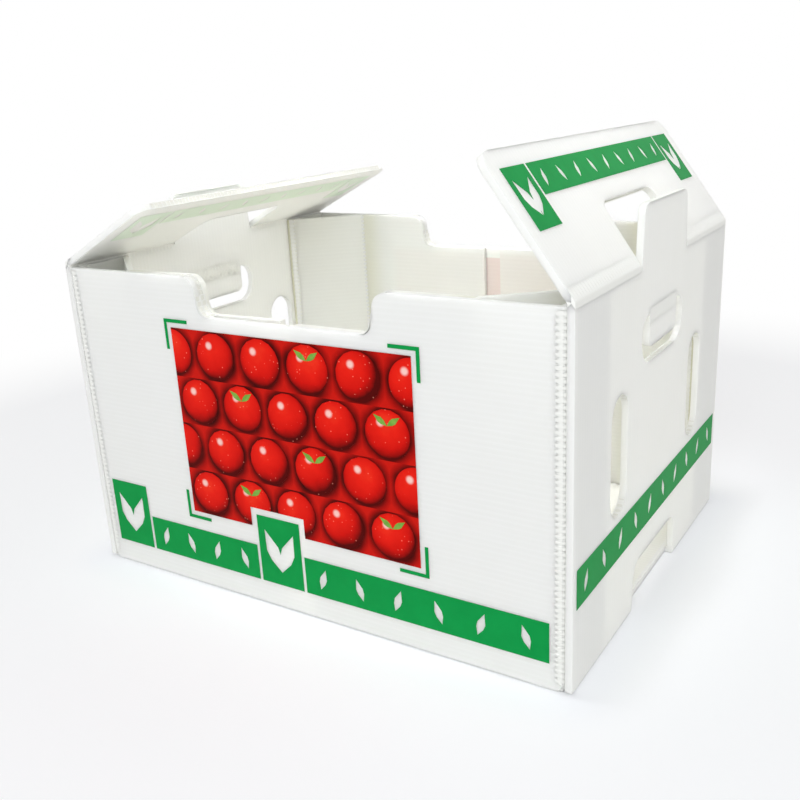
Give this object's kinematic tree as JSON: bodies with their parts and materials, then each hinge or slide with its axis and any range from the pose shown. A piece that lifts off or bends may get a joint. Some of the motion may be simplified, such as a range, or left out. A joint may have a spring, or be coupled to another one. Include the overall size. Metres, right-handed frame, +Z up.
{
  "type": "corrugated plastic produce box",
  "caption": "Folded corrugated plastic produce box with hinged lid flaps, stacking tabs and notches, hand holes, vents and hollow corner posts.",
  "frame": {"origin": "middle of the footprint, on the surface the box stands on", "axes": "+X along the long panels towards the right end, -Y out of the front panel, +Z up"},
  "size_m": [0.4002, 0.311, 0.3171],
  "materials": {
    "board": "satin translucent white fluted polypropylene",
    "green_ink": "printed film",
    "dark_red_ink": "printed film",
    "red_ink": "printed film",
    "leaf_ink": "printed film"
  },
  "bodies": {
    "box": {"box_body": "board", "front_band_print": "green_ink", "back_band_print": "green_ink", "left_end_print": "green_ink", "right_end_print": "green_ink", "front_picture_ground": "dark_red_ink", "back_picture_ground": "dark_red_ink", "front_picture_fruit": "red_ink", "back_picture_fruit": "red_ink", "front_picture_leaves": "leaf_ink", "back_picture_leaves": "leaf_ink"},
    "left_lid": {"left_lid_flap": "board", "left_lid_print": "green_ink"},
    "right_lid": {"right_lid_flap": "board", "right_lid_print": "green_ink"},
    "left_hand": {"left_hand_flap": "board"},
    "right_hand": {"right_hand_flap": "board"}
  },
  "joints": [
    {"name": "left_lid_hinge", "type": "hinge", "parent": "box", "child": "left_lid", "pos_m": [-0.19775, 0, 0.24055], "axis": [0, 1, 0], "range_deg": [-163, 27]},
    {"name": "right_lid_hinge", "type": "hinge", "parent": "box", "child": "right_lid", "pos_m": [0.19775, 0, 0.24055], "axis": [0, -1, 0], "range_deg": [-136, 54]},
    {"name": "left_hand_flap_hinge", "type": "hinge", "parent": "box", "child": "left_hand", "pos_m": [-0.19775, 0, 0.20655], "axis": [0, -1, 0], "range_deg": [-45, 90]},
    {"name": "right_hand_flap_hinge", "type": "hinge", "parent": "box", "child": "right_hand", "pos_m": [0.19775, 0, 0.20655], "axis": [0, 1, 0], "range_deg": [-45, 90]}
  ]
}
